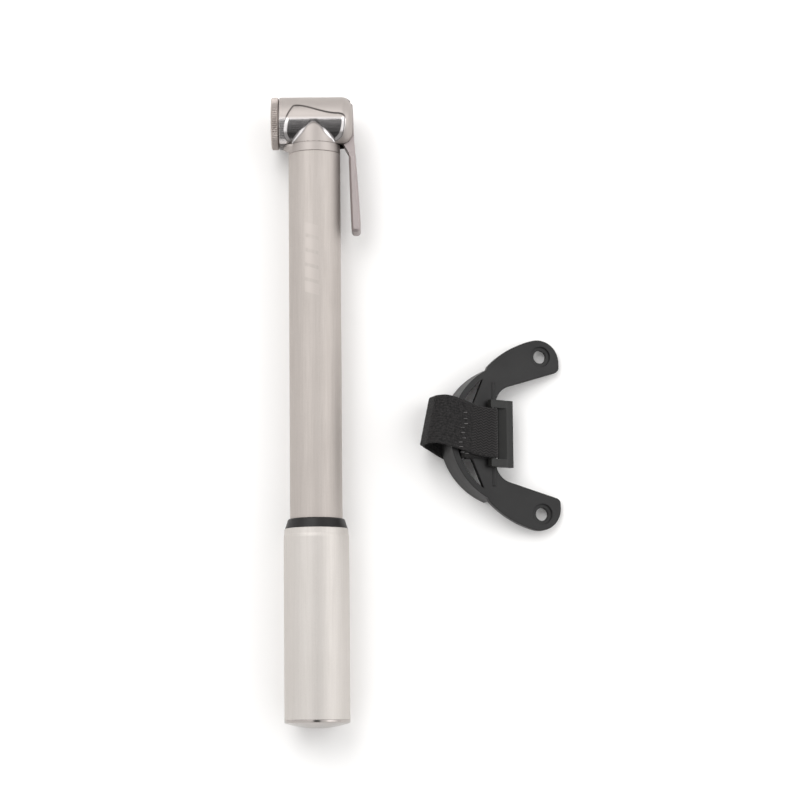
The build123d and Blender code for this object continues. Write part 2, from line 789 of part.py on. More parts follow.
def plate_sketch():
    """C-shaped outline: outer arc, two tabs, a mouth with sloping jaws and a notch for the strap."""
    far = 2 * plate_outer_r
    jaw_drop = (mouth_back + tab_end) * tan(radians(mouth_slope))
    back_half = mouth_half - jaw_drop
    sketch = Pos(plate_centre_u, 0) * Circle(plate_outer_r)
    sketch -= Pos(tab_end + far / 2, 0) * Rectangle(far, 2 * far)
    mouth = Polyline(
        (-mouth_back, -back_half),
        (-mouth_back, back_half),
        (tab_end, mouth_half),
        (far, mouth_half + jaw_drop),
        (far, -mouth_half - jaw_drop),
        (tab_end, -mouth_half),
        close=True,
    )
    sketch -= make_face(mouth)
    notch_u = slot_strap_u() + strap_thickness / 2 + 2 * side_gap
    notch_half = strap_width / 2 + notch_room
    sketch -= Pos(notch_u - far / 2, 0) * Rectangle(far, 2 * notch_half)
    for side in (-1, 1):
        wedge = Polyline(
            (wedge_start - bow_root_u, side * wedge_top),
            (wedge_foot - bow_root_u, side * (notch_half - over)),
            (-far, side * (notch_half - over)),
            (-far, side * wedge_top),
            close=True,
        )
        sketch -= make_face(wedge)
    back_corners = sketch.vertices().filter_by(lambda p: abs(p.X + mouth_back) < hair)
    sketch = fillet(back_corners, mouth_back_round)
    tips = sketch.vertices().filter_by(lambda p: abs(p.X - tab_end) < hair)
    sketch = fillet(tips.filter_by(lambda p: abs(p.Y) < hole_spacing / 2), tab_inner_round)
    tips = sketch.vertices().filter_by(lambda p: abs(p.X - tab_end) < hair)
    outer_tips = tips.filter_by(lambda p: abs(p.Y) > hole_spacing / 2).sort_by(Axis.Y)
    return fillet(outer_tips[:1] + outer_tips[-1:], tab_outer_round)


def make_mounting_bracket():
    """Moulded plate with a bow behind it; the strap goes round the bow."""
    plate = extrude(plate_sketch(), -plate_thickness)
    ring = Circle(bow_outer_r) - Circle(bow_outer_r - bow_wall)
    behind = Pos(-bow_root_u - bow_outer_r, 0) * Rectangle(2 * bow_outer_r, 4 * bow_outer_r)
    bow = extrude((Pos(bow_centre_u, 0) * ring) & behind, -bow_depth)
    root_n = (table_z - bracket_z - bow_root_u * sin(tilt)) / cos(tilt)
    outer_u = bow_centre_u - bow_outer_r
    rear_cut = Polyline(
        (-bow_root_u, root_n),
        (outer_u, -bow_depth),
        (outer_u - over, -bow_depth),
        (outer_u - over, -2 * bow_depth),
        (-bow_root_u + over, -2 * bow_depth),
        (-bow_root_u + over, root_n),
        close=True,
    )
    bow = bow - extrude(Plane.XZ * make_face(rear_cut), 2 * bow_outer_r, both=True)
    bracket = plate + bow
    for side in (-1, 1):
        rib_at = Pos(-mouth_back - rib_r, side * (strap_width / 2 + rib_from_strap), 0)
        rib = rib_at * Rot(90, 0, 0) * Cylinder(rib_r, rib_length)
        bracket = bracket + Pos(0, 0, -rib_sunk) * rib
    for side in (-1, 1):
        at_hole = Pos(0, side * hole_spacing / 2, 0)
        bracket = bracket - at_hole * Cylinder(hole_dia / 2, 3 * plate_thickness)
        bracket = bracket - at_hole * Cylinder(washer_recess_dia / 2, 2 * recess_depth)
    return bracket_plane.location * bracket


def strap_line():
    """Middle of the strap, seen from its edge: under layer, slot, round the bow, top layer."""
    half = strap_thickness / 2
    slot_u = slot_strap_u()
    under_n = 2 * contact_gap + half
    top_n = under_n + strap_thickness + contact_gap
    bow_u = bow_centre_u - bow_outer_r
    rear_n = -bow_depth - 0.2 - half
    outline = (
        (fold_u(), under_n),
        (slot_u, under_n),
        (slot_u, rear_n + 1.0),
        (slot_u - 1.9, rear_n + 0.1),
        (bow_u + 0.1, rear_n - 0.35),
        (bow_u - 4.5, rear_n + 0.7),
        (bow_u - 7.7, rear_n + 6.6),
        (bow_u - 7.3, top_n - 2.7),
        (bow_u - 4.8, top_n),
        (fold_u() - 7.0, top_n),
        (fold_u(), fold_n() + bar_dia / 2 + running + half),
    )
    return outline


def make_strap():
    """Webbing loop sewn round the buckle's bar; its front layer lies askew on the under layer."""
    outline = strap_line()
    path = FilletPolyline(*outline, radius=strap_rounds)
    half = strap_thickness / 2
    sections = []
    for step in range(strap_steps + 1):
        share = step / strap_steps
        at = path @ share
        along = path % share
        turn = min(max((share - skew_start) / skew_in, 0.0), 1.0) * min((1.0 - share) / skew_out, 1.0)
        skew = radians(strap_skew) * turn
        shift = strap_shift * turn
        side = Vector(sin(skew), cos(skew), 0)
        up = Vector(-along.Y, 0, along.X)
        middle = Vector(at.X, shift, at.Y)
        corners = [
            middle + side * (sw * strap_width / 2) + up * (st * half)
            for sw, st in ((-1, -1), (1, -1), (1, 1), (-1, 1))
        ]
        sections.append(Wire.make_polygon(corners, close=True))
    loop = Solid.make_loft(sections, ruled=True)
    fold_r = bar_dia / 2 + running
    fold = Pos(fold_u(), 0, fold_n()) * Rot(90, 0, 0) * Cylinder(fold_r + strap_thickness, strap_width)
    eye = Pos(fold_u(), 0, fold_n()) * Rot(90, 0, 0) * Cylinder(fold_r, 2 * strap_width)
    return bracket_plane.location * (Part() + loop + fold - eye)


def make_strap_buckle():
    """Moulded ring: a round bar in the strap's fold, two side arms and a wide, ridged far bar."""
    arm = buckle_arm
    thick = bar_dia
    ring = Rot(90, 0, 0) * Cylinder(bar_dia / 2, buckle_height - arm)
    side_at = (buckle_height - arm) / 2
    for side in (-1, 1):
        ring = ring + Pos(buckle_reach / 2, side * side_at, 0) * Box(buckle_reach + thick, arm, thick)
    half = thick / 2 + slip
    section = Polyline(
        (far_bar_inner, -half),
        (far_bar_outer - slip, -half),
        (far_bar_outer, -half + slip),
        (far_bar_outer, half - slip),
        (far_bar_outer - slip, half),
        (far_bar_ridge, half),
        (far_bar_inner, far_bar_lip - half),
        close=True,
    )
    ring = ring + extrude(Plane.XZ * make_face(section), buckle_height / 2, both=True)
    hung = Pos(fold_u(), 0, fold_n()) * Rot(0, buckle_hang, 0) * ring
    return bracket_plane.location * hung


parts = {
    "barrel": make_barrel,
    "head_body": make_head_body,
    "lever_pin": make_lever_pin,
    "neck_seal": make_neck_seal,
    "check_valve_seat": make_check_seat,
    "check_valve_ball": make_check_ball,
    "check_valve_spring": make_check_spring,
    "valve_gland": make_valve_gland,
    "cap_washer": make_cap_washer,
    "valve_cap": make_valve_cap,
    "gland_plunger": make_gland_plunger,
    "plunger_seal": make_plunger_seal,
    "thumb_lever": make_thumb_lever,
    "piston_head": make_piston_head,
    "piston_cup": make_piston_cup,
    "piston_glide_ring": make_glide_ring,
    "piston_screw": make_piston_screw,
    "piston_rod": make_piston_rod,
    "rod_guide": make_rod_guide,
    "rod_bumper": make_rod_bumper,
    "handle_sleeve": make_handle_sleeve,
    "handle_collar": make_handle_collar,
    "end_plug": make_end_plug,
    "rod_screw": make_rod_screw,
    "end_cap": make_end_cap,
    "mounting_bracket": make_mounting_bracket,
    "strap": make_strap,
    "strap_buckle": make_strap_buckle,
}

if __name__ == "__main__":
    os.makedirs("parts", exist_ok=True)
    for name, make in parts.items():
        export_step(make(), f"parts/{name}.step")
    print("stroke", round(stroke, 2))
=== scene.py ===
# Bicycle mini pump with its strap bracket, lying on a pale table.
import json
import math
import bmesh
import bpy
import numpy as np
from mathutils import Matrix, Vector


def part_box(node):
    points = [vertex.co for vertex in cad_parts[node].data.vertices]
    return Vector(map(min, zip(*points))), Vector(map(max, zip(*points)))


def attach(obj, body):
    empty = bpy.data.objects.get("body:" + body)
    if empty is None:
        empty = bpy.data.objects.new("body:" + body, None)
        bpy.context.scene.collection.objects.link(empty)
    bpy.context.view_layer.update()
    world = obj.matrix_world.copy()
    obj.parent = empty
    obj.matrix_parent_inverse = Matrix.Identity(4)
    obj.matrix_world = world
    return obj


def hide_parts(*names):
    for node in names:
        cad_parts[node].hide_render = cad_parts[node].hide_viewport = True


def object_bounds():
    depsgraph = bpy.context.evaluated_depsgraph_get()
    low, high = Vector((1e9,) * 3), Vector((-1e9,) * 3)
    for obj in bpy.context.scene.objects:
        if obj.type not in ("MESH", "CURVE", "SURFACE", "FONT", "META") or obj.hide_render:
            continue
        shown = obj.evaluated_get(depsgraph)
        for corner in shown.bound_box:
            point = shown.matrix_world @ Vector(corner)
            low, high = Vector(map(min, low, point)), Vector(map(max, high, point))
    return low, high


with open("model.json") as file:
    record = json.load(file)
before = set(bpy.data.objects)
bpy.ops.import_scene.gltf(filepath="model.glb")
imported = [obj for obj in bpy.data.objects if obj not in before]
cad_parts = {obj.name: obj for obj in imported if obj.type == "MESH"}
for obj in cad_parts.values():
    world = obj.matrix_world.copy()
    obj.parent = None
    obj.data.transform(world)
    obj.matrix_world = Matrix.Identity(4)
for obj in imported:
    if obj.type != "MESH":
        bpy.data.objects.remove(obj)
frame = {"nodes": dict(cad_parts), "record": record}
cadLow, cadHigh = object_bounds()
mm = 0.001


# sRGB hex to linear: c / 12.92 below 0.04045, otherwise ((c + 0.055) / 1.055) ** 2.4
def linear(code):
    channels = [int(code[i:i + 2], 16) / 255 for i in (1, 3, 5)]
    return tuple(c / 12.92 if c <= 0.04045 else ((c + 0.055) / 1.055) ** 2.4 for c in channels) + (1.0,)


# one node: its kind, its settings, and its sockets by name or number, as a value or as (node, output)
def addNode(tree, kind, settings=None, sockets=None):
    node = tree.nodes.new("ShaderNode" + kind)
    for key, value in (settings or {}).items():
        setattr(node, key, value)
    for key, value in (sockets or {}).items():
        if isinstance(value, tuple) and len(value) == 2 and isinstance(value[0], bpy.types.Node):
            tree.links.new(value[0].outputs[value[1]], node.inputs[key])
        else:
            node.inputs[key].default_value = value
    return node


# 0 to 1 with soft ends as the value goes from the first of a pair of numbers to the second
def softStep(tree, value, span):
    return addNode(tree, "MapRange", {"interpolation_type": "SMOOTHSTEP"}, {
        "Value": value, "From Min": span[0], "From Max": span[1]})


# a to b as the factor goes from 0 to 1: two colours, or two numbers
def mixTone(tree, factor, a, b):
    return addNode(tree, "Mix", {"data_type": "RGBA"}, {0: factor, 6: a, 7: b}), 2


def mixNumber(tree, factor, a, b):
    return addNode(tree, "Mix", {"data_type": "FLOAT"}, {0: factor, 2: a, 3: b}), 0


# noise whose largest lumps are about so many mm across
def lumps(tree, place, across, detail, roughness=0.5):
    return addNode(tree, "TexNoise", sockets={
        "Vector": place, "Scale": 1 / (across * mm), "Detail": detail, "Roughness": roughness}), "Fac"


# the middle of a noise's range spread over low to high
def spread(tree, noise, low, high):
    return addNode(tree, "MapRange", sockets={
        "Value": noise, "From Min": 0.3, "From Max": 0.7, "To Min": low, "To Max": high}), "Result"


def newMaterial(name):
    material = bpy.data.materials.new(name)
    material.use_nodes = True
    material.node_tree.nodes.clear()
    return material, material.node_tree


def finishMaterial(tree, shader):
    addNode(tree, "OutputMaterial", sockets={"Surface": (shader, "BSDF")})


def wear(node, material):
    piece = frame["nodes"][node]
    if piece.material_slots:
        for place in piece.material_slots:
            place.material = material
    else:
        piece.data.materials.append(material)


# ---- camera: a long lens, tipped a little towards the handle's end
cameraSet = {"aim": (33.9, -26.5, 0.0), "distance": 1126.0, "tip": 7.4, "roll": -0.54, "lens": 126.0}


def makeCamera(s):
    tip, roll = math.radians(s["tip"]), math.radians(s["roll"])
    back = Vector((0.0, -math.sin(tip), math.cos(tip)))
    up = Vector((0.0, math.cos(tip), math.sin(tip)))
    right = up.cross(back)
    turn = Matrix.Rotation(roll, 4, "Z")
    placed = Matrix((right, up, back)).transposed().to_4x4() @ turn
    placed.translation = (Vector(s["aim"]) + back * s["distance"]) * mm
    data = bpy.data.cameras.new("tableCamera")
    data.lens = s["lens"]
    data.sensor_width = 36.0
    data.clip_start = 0.01
    data.clip_end = 20.0
    camera = bpy.data.objects.new("tableCamera", data)
    camera.matrix_world = placed
    bpy.context.scene.collection.objects.link(camera)
    bpy.context.scene.camera = camera


makeCamera(cameraSet)
print("camera placed")

# ---- table and light: a white sweep under one large softbox, with a darker room behind the viewer
studio = {
    "table": 3.0, "tableTone": "#FAF9F8", "roomTone": "#FFFFFF", "roomLight": 1.08, "darkTone": 0.08,
    "boxSize": 1.1, "boxPower": 8.6, "boxAt": (-0.45, 0.75, 1.15), "sideSize": 0.8, "sidePower": 3.4,
    "sideAt": (0.95, 0.25, 0.75), "gap": 0.00002, "grain": 900.0,
    # the dark strip's soft edges, as directions: where it is full dark last, and where it starts
    "stripAlong": (0.42, 0.22), "stripAcross": (0.27, 0.15), "stripAbove": (0.02, 0.14),
}


def makeStudio(s):
    half = s["table"] / 2
    level = cadLow.z - s["gap"]
    corners = [(-half, -half, level), (half, -half, level), (half, half, level), (-half, half, level)]
    mesh = bpy.data.meshes.new("table")
    mesh.from_pydata(corners, [], [(0, 1, 2, 3)])
    table = bpy.data.objects.new("table", mesh)
    bpy.context.scene.collection.objects.link(table)
    # painted board, rolled: matt, with a faint roller texture
    material, tree = newMaterial("paintedBoardRolled")
    place = addNode(tree, "TexCoord")
    grain = addNode(tree, "TexNoise", sockets={"Vector": (place, "Object"), "Scale": s["grain"], "Detail": 3.0})
    bump = addNode(tree, "Bump", sockets={"Strength": 0.05, "Distance": 0.0001, "Height": (grain, "Fac")})
    shader = addNode(tree, "BsdfPrincipled", sockets={
        "Base Color": linear(s["tableTone"]), "Roughness": 0.75, "Specular IOR Level": 0.3,
        "Normal": (bump, "Normal")})
    finishMaterial(tree, shader)
    mesh.materials.append(material)

    world = bpy.data.worlds.new("studioRoom")
    world.use_nodes = True
    bpy.context.scene.world = world
    tree = world.node_tree
    tree.nodes.clear()
    place = addNode(tree, "TexCoord")
    apart = addNode(tree, "SeparateXYZ", sockets={"Vector": (place, "Generated")})
    # the dark side: a soft-edged strip overhead that runs down towards -Y
    along = softStep(tree, (apart, "Y"), s["stripAlong"])
    width = addNode(tree, "Math", {"operation": "ABSOLUTE"}, {0: (apart, "X")})
    across = softStep(tree, (width, "Value"), s["stripAcross"])
    above = softStep(tree, (apart, "Z"), s["stripAbove"])
    both = addNode(tree, "Math", {"operation": "MULTIPLY"}, {0: (along, "Result"), 1: (across, "Result")})
    patch = addNode(tree, "Math", {"operation": "MULTIPLY"}, {0: (both, "Value"), 1: (above, "Result")})
    level = addNode(tree, "MapRange", sockets={
        "Value": (patch, "Value"), "To Min": s["roomLight"], "To Max": s["darkTone"]})
    room = addNode(tree, "Background", sockets={"Color": linear(s["roomTone"]), "Strength": (level, "Result")})
    plain = addNode(tree, "Background", sockets={"Color": linear(s["tableTone"]), "Strength": 1.0})
    ray = addNode(tree, "LightPath")
    mix = addNode(tree, "MixShader", sockets={
        0: (ray, "Is Camera Ray"), 1: (room, "Background"), 2: (plain, "Background")})
    addNode(tree, "OutputWorld", sockets={"Surface": (mix, "Shader")})

    for name, size, power, at in (("softbox", s["boxSize"], s["boxPower"], s["boxAt"]),
                                  ("sideFill", s["sideSize"], s["sidePower"], s["sideAt"])):
        data = bpy.data.lights.new(name, "AREA")
        data.shape = "SQUARE"
        data.size = size
        data.energy = power
        lamp = bpy.data.objects.new(name, data)
        lamp.matrix_world = Matrix.Translation(at) @ Vector(at).to_track_quat("Z", "Y").to_matrix().to_4x4()
        bpy.context.scene.collection.objects.link(lamp)
    bpy.context.scene.view_settings.view_transform = "Standard"


makeStudio(studio)
print("studio lit")


# ---- shapes
# 0 to 1 with level ends: t * t * (3 - 2 * t), t being how far value is from low to high
def smoothRamp(value, low, high):
    t = np.clip((value - low) / (high - low), 0.0, 1.0)
    return t * t * (3.0 - 2.0 * t)


# the larger of a and b, rounded over a width k where they cross: max(a, b) + h * h * k / 4, h = 1 - |a - b| / k
def smoothMax(a, b, k):
    h = np.maximum(1.0 - np.abs(a - b) / k, 0.0)
    return np.maximum(a, b) + h * h * k / 4.0


# an outline with its corners cut: every side keeps the points at 1/4 and 3/4 of its length
def cutCorners(points, rounds):
    for _ in range(rounds):
        after = np.roll(points, -1, axis=0)
        points = np.stack([0.75 * points + 0.25 * after, 0.25 * points + 0.75 * after], axis=1).reshape(-1, 2)
    return points


# distance into a closed outline, below 0 outside: the least |p - a - t (b - a)| over its sides, signed by crossings
def insideDistance(x, y, outline):
    a, b = outline, np.roll(outline, -1, axis=0)
    d = b - a
    px, py = x[..., None] - a[:, 0], y[..., None] - a[:, 1]
    t = np.clip((px * d[:, 0] + py * d[:, 1]) / (d * d).sum(axis=1), 0.0, 1.0)
    away = np.sqrt(((px - t * d[:, 0]) ** 2 + (py - t * d[:, 1]) ** 2).min(axis=-1))
    spans = (a[:, 1] > y[..., None]) != (b[:, 1] > y[..., None])
    rise = np.where(np.abs(d[:, 1]) < 1e-9, 1e-9, d[:, 1])
    crossed = (spans & (px < py * d[:, 0] / rise)).sum(axis=-1) % 2 == 1
    return np.where(crossed, away, -away)


# a grid of points in mm made a mesh of quads: it closes on itself across, and along too when ring is set;
# otherwise a flat face shuts each end. ways holds the two distances, in mm, that a woven pattern follows
def gridMesh(name, points, ring=False, ways=None):
    rows, cols = points.shape[:2]
    row = np.arange(rows if ring else rows - 1)[:, None]
    col = np.arange(cols)[None, :]
    nextRow, nextCol = (row + 1) % rows, (col + 1) % cols
    quads = np.stack([
        row * cols + col, nextRow * cols + col, nextRow * cols + nextCol, row * cols + nextCol], axis=-1)
    faces = quads.reshape(-1, 4).tolist()
    if not ring:
        faces += [list(range(cols)), list(range((rows - 1) * cols, rows * cols))]
    mesh = bpy.data.meshes.new(name)
    mesh.from_pydata((points.reshape(-1, 3) * mm).tolist(), [], faces)
    if ways is not None:
        along, across = ways
        zero = 0 * row + 0 * col
        corners = np.stack([
            np.stack([along[row] + zero, across[col] + zero], axis=-1),
            np.stack([along[row + 1] + zero, across[col] + zero], axis=-1),
            np.stack([along[row + 1] + zero, across[col + 1] + zero], axis=-1),
            np.stack([along[row] + zero, across[col + 1] + zero], axis=-1)], axis=2)
        mesh.uv_layers.new(name="weave").data.foreach_set("uv", corners.astype(np.float32).ravel())
    return mesh


# puts a mesh in the scene as a piece, with its faces turned outwards and edges sharper than the angle kept crisp
def addPiece(name, mesh, sharp=40.0):
    shell = bmesh.new()
    shell.from_mesh(mesh)
    bmesh.ops.recalc_face_normals(shell, faces=shell.faces)
    shell.to_mesh(mesh)
    shell.free()
    mesh.polygons.foreach_set("use_smooth", np.ones(len(mesh.polygons), dtype=bool))
    mesh.set_sharp_from_angle(angle=math.radians(sharp))
    piece = bpy.data.objects.new(name, mesh)
    bpy.context.scene.collection.objects.link(piece)
    return piece


# takes the cutters' shapes out of a piece, for good
def cutAway(piece, cutters, sharp=35.0):
    for cutter in cutters:
        cut = piece.modifiers.new("cut", "BOOLEAN")
        cut.operation = "DIFFERENCE"
        cut.solver = "EXACT"
        cut.object = cutter
    graph = bpy.context.evaluated_depsgraph_get()
    mesh = bpy.data.meshes.new_from_object(piece.evaluated_get(graph))
    piece.modifiers.clear()
    piece.data = mesh
    for cutter in cutters:
        bpy.data.objects.remove(cutter)
    mesh.polygons.foreach_set("use_smooth", np.ones(len(mesh.polygons), dtype=bool))
    mesh.set_sharp_from_angle(angle=math.radians(sharp))


valveY = next(m["pos_m"][1] for m in frame["record"]["mounts"] if m["name"] == "valve_bore") / mm

# ---- head: a cast body lying across the barrel, its flanks scooped out and polished, on a round neck
headForm = {
    "backRound": 4.5, "frontEdge": 0.3, "scoop": 0.5, "wallThin": 0.5, "wallWide": 1.6,
    "neckRadius": 10.1, "neckFoot": 11.1, "filletThin": 0.12, "filletWide": 1.5, "rows": 190, "around": 320,
    # the scoop's outline on the flank: along the valve's axis, and up round the flank from its middle
    "outline": ((-7.4, 7.1), (5.8, 2.3), (12.2, 2.1), (13.1, -0.8), (12.5, -4.9), (11.5, -7.7), (10.2, -9.3),
                (8.5, -10.8), (-8.0, -12.4), (-9.4, -11.7), (-10.6, -10.4), (-11.9, -8.2), (-12.3, -5.4),
                (-11.9, -2.0), (-10.8, 1.3), (-9.4, 3.9)),
    "chamberRadius": 7.0, "chamberEnd": 1.0, "threadRadius": 8.15, "threadEnd": -9.5, "stemRadius": 3.56,
    "slot": ((4.5, 8.9), (4.5, -1.6), (10.8, -11.1), (10.8, -14.1), (21.0, -14.1), (21.0, 8.9)), "slotHalf": 4.5,
    "pin": (10.8, 1.2), "pinRadius": 1.5, "pinEnd": 8.05, "pinSides": 40,
    "threadWall": 0.6, "past": 1.0,  # how far the cutters run past the surface
}
headLow, headHigh = (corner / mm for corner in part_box("head_body"))
headRadius = (headHigh.z - headLow.z) / 2
scoopOutline = cutCorners(np.array(headForm["outline"]), 3)


# neck seen from the valve's axis: the neck's side sqrt(r * r - x * x) / |side|, cut off level at its foot
def neckReach(x, up, side, s):
    wall = np.sqrt(np.maximum(s["neckRadius"] ** 2 - x * x, 0.0)) / np.maximum(np.abs(side), 1e-4)
    return np.where(up < 0, np.minimum(wall, s["neckFoot"] / np.maximum(-up, 1e-4)), 0.0)


# point = (x, valveY + r cos a, r sin a): r is the turned profile less the scoop, joined to the neck by a fillet
def headSurface(s):
    edge, roundR = s["frontEdge"], s["backRound"]
    bend = np.linspace(0.0, math.pi / 2, 22)
    x = np.concatenate([
        [headLow.x, headLow.x], np.linspace(headLow.x + edge, headHigh.x - roundR, s["rows"]),
        headHigh.x - roundR + roundR * np.sin(bend[1:]), [headHigh.x]])
    profile = np.concatenate([
        [s["threadRadius"] + s["threadWall"], headRadius - edge], np.full(s["rows"], headRadius),
        headRadius - roundR + roundR * np.cos(bend[1:]), [2.0]])
    around = np.arange(s["around"]) * 2.0 * math.pi / s["around"]
    up, side = np.cos(around)[None, :], np.sin(around)[None, :]
    x = x[:, None] + 0.0 * up
    flank = headRadius * np.arcsin(up) + 0.0 * x
    width = s["wallThin"] + (s["wallWide"] - s["wallThin"]) * smoothRamp(flank, 1.5, -0.5)
    r = profile[:, None] - s["scoop"] * smoothRamp(insideDistance(x, flank, scoopOutline) / width, 0.0, 1.0)
    fillet = s["filletThin"] + (s["filletWide"] - s["filletThin"]) * smoothRamp(-up, 0.3, 0.7)
    r = smoothMax(r, neckReach(x, up, side, s), fillet)
    return np.stack([x, valveY + r * up, r * side], axis=-1)


# a turned solid about the valve's axis from (x, radius) pairs
def valveTurning(profile, around=96):
    x, r = (np.array(column, dtype=float)[:, None] for column in zip(*profile))
    a = np.arange(around)[None, :] * 2.0 * math.pi / around
    return np.stack([x + 0.0 * a, valveY + r * np.cos(a), r * np.sin(a)], axis=-1)


# a flat outline (x, height over the valve's axis) carried from one z to another
def sidePrism(outline, z0, z1):
    flat = np.array(outline, dtype=float)
    one = np.ones(len(flat))
    return np.stack([np.stack([flat[:, 0], valveY + flat[:, 1], z * one], axis=-1) for z in (z0, z1)])


# where the head is polished and where painted shade darkens it. Heights are up round the flank from its middle, in
# mm, and each pair is a soft edge from 0 to 1
polishForm = {
    "edge": (-0.2, 0.1), "height": (1.0, -1.0), "skin": (-1.2, -0.9),
    "collar": 0.8, "collarEnd": (-10.4, -11.4), "collarRim": 0.3, "collarTop": (4.0, 1.5),
    "streak": 0.6, "streakTurn": (0.3, 0.6), "neckEdge": 0.08,
    "wallAt": 0.1, "wall": (0.1, 0.4), "wallHeight": (-1.0, 1.0), "arch": 0.7, "archLine": (0.05, 0.28),
    "archEdge": (-0.4, 0.0), "root": (-9.25, -9.45), "rootSkin": (-2.2, -1.6), "paintedShadeSkin": (-2.0, -1.2),
    "corner": 0.75, "cornerHeight": (-1.0, -7.5), "cornerEdge": (0.9, 1.8), "cornerNeck": (-0.7, -0.2),
    "low": 0.85, "lowHeight": (-4.8, -6.4), "lowNeck": (-0.5, -0.1),
}


# polished where the scoop is and on the collar beside the cap, fading to satin towards the top and on the neck;
# painted shade, darkening along the scoop's wall, beside the neck's arch, at its root and low in the scoop's
# corners
def markPolish(mesh, form, s):
    place = np.empty(len(mesh.vertices) * 3, dtype=np.float32)
    mesh.vertices.foreach_get("co", place)
    x, y, z = place.reshape(-1, 3).T.astype(float) / mm
    height = y - valveY
    r = np.hypot(height, z)
    up, side = height / np.maximum(r, 1e-6), z / np.maximum(r, 1e-6)
    flank = headRadius * np.arcsin(np.clip(up, -1.0, 1.0))
    depth = r - headRadius
    inside = insideDistance(x, flank, scoopOutline)
    rise = neckReach(x, up, side, form) - (headRadius - form["scoop"])
    streak = s["streak"] * smoothRamp(-up, *s["streakTurn"])
    neck = smoothRamp(rise, streak, streak + s["neckEdge"])

    collar = s["collar"] * smoothRamp(x, *s["collarEnd"]) * smoothRamp(flank, *s["collarTop"])
    collar = collar * smoothRamp(x, headLow.x, headLow.x + s["collarRim"])
    polish = np.maximum(smoothRamp(inside, *s["edge"]), collar) * (1.0 - neck) * smoothRamp(depth, *s["skin"])
    polish = polish * smoothRamp(flank, *s["height"])

    # painted shade: dark lines along the scoop's wall, beside the neck's arch and at the neck's root, and darkening
    # low in the scoop's corners
    wall = (1.0 - smoothRamp(np.abs(inside - s["wallAt"]), *s["wall"])) * smoothRamp(flank, *s["wallHeight"])
    arch = s["arch"] * (1.0 - smoothRamp(np.abs(rise - streak), *s["archLine"])) * smoothRamp(inside, *s["archEdge"])
    root = smoothRamp(height, *s["root"]) * smoothRamp(depth, *s["rootSkin"])
    corner = s["corner"] * smoothRamp(flank, *s["cornerHeight"]) * smoothRamp(inside, *s["cornerEdge"])
    corner = corner * (1.0 - smoothRamp(rise, *s["cornerNeck"]))
    low = s["low"] * smoothRamp(flank, *s["lowHeight"]) * smoothRamp(inside, *s["edge"])
    low = low * (1.0 - smoothRamp(rise, *s["lowNeck"]))
    crease = np.maximum(np.maximum(wall, arch), root) * smoothRamp(depth, *s["paintedShadeSkin"])
    crease = np.maximum(crease, np.maximum(corner, low))
    for mark, value in (("polish", polish), ("crease", crease)):
        mesh.attributes.new(mark, "FLOAT", "POINT").data.foreach_set("value", value.astype(np.float32))


# cast aluminium: satin where tumbled, mirror-like with faint polishing lines where buffed, dark where painted shade
# is laid on
def castAluminium(name, s):
    material, tree = newMaterial(name)
    place = (addNode(tree, "TexCoord"), "Object")
    buffed = (addNode(tree, "Attribute", {"attribute_name": "polish"}), "Fac")
    paintedShadeMask = (addNode(tree, "Attribute", {"attribute_name": "crease"}), "Fac")
    grain = lumps(tree, place, s["grain"], 4.0, 0.6)
    cloud = lumps(tree, place, s["cloud"], 3.0)
    stretch = addNode(tree, "Mapping", sockets={"Vector": place, "Scale": s["drawn"]})
    lines = lumps(tree, (stretch, "Vector"), s["line"], 3.0)
    satin = mixTone(tree, cloud, linear(s["tone"]), linear(s["toneLow"]))
    tone = mixTone(tree, buffed, satin, linear(s["buffTone"]))
    # painted shade: the shade mark darkens the colour towards a dark shade tone
    paintedShadeAmount = addNode(tree, "Math", {"operation": "MULTIPLY"}, {0: paintedShadeMask, 1: s["paintedShadeAmount"]})
    tone = mixTone(tree, (paintedShadeAmount, "Value"), tone, linear(s["paintedShadeTone"]))
    uneven = spread(tree, lines, s["buffRough"] - 0.02, s["buffRough"] + 0.04)
    rough = mixNumber(tree, buffed, s["rough"], uneven)
    relief = mixNumber(tree, buffed, grain, 0.5)
    bump = addNode(tree, "Bump", sockets={"Strength": s["bump"], "Distance": 0.00003, "Height": relief})
    shader = addNode(tree, "BsdfPrincipled", sockets={
        "Base Color": tone, "Metallic": 1.0, "Roughness": rough, "Normal": (bump, "Normal")})
    finishMaterial(tree, shader)
    return material


# the dark tone #3A3634 at 0.85 strength is the painted shade laid on the head
headFinish = {
    "tone": "#B1AAA6", "toneLow": "#AAA39F", "buffTone": "#E4E0E0", "paintedShadeTone": "#3A3634", "paintedShadeAmount": 0.85,
    "grain": 0.3, "cloud": 7.0, "line": 0.3, "drawn": (0.05, 1.0, 1.0), "rough": 0.52, "buffRough": 0.2,
    "bump": 0.25,
}


def makeHead(s):
    head = addPiece("headCasting", gridMesh("headCasting", headSurface(s)))
    bore = valveTurning((
        (headLow.x - s["past"], s["threadRadius"]), (s["threadEnd"], s["threadRadius"]),
        (s["threadEnd"], s["chamberRadius"]), (s["chamberEnd"], s["chamberRadius"]),
        (s["chamberEnd"], s["stemRadius"]), (s["slot"][0][0] + s["past"], s["stemRadius"])))
    turn = np.arange(s["pinSides"]) * 2.0 * math.pi / s["pinSides"]
    pinRound = np.array(s["pin"]) + s["pinRadius"] * np.stack([np.cos(turn), np.sin(turn)], axis=1)
    slot = sidePrism(s["slot"], -s["slotHalf"], s["slotHalf"])
    pinHole = sidePrism(pinRound, -headRadius - s["past"], s["pinEnd"])
    shapes = (("boreCutter", bore), ("slotCutter", slot), ("pinCutter", pinHole))
    cutAway(head, [addPiece(name, gridMesh(name, points)) for name, points in shapes])
    markPolish(head.data, s, polishForm)
    return head


head = makeHead(headForm)
castMetal = castAluminium("castAluminiumSatinAndBuffed", headFinish)
head.data.materials.append(castMetal)
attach(head, "pump_body")
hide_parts("head_body")
print("head made", len(head.data.polygons))

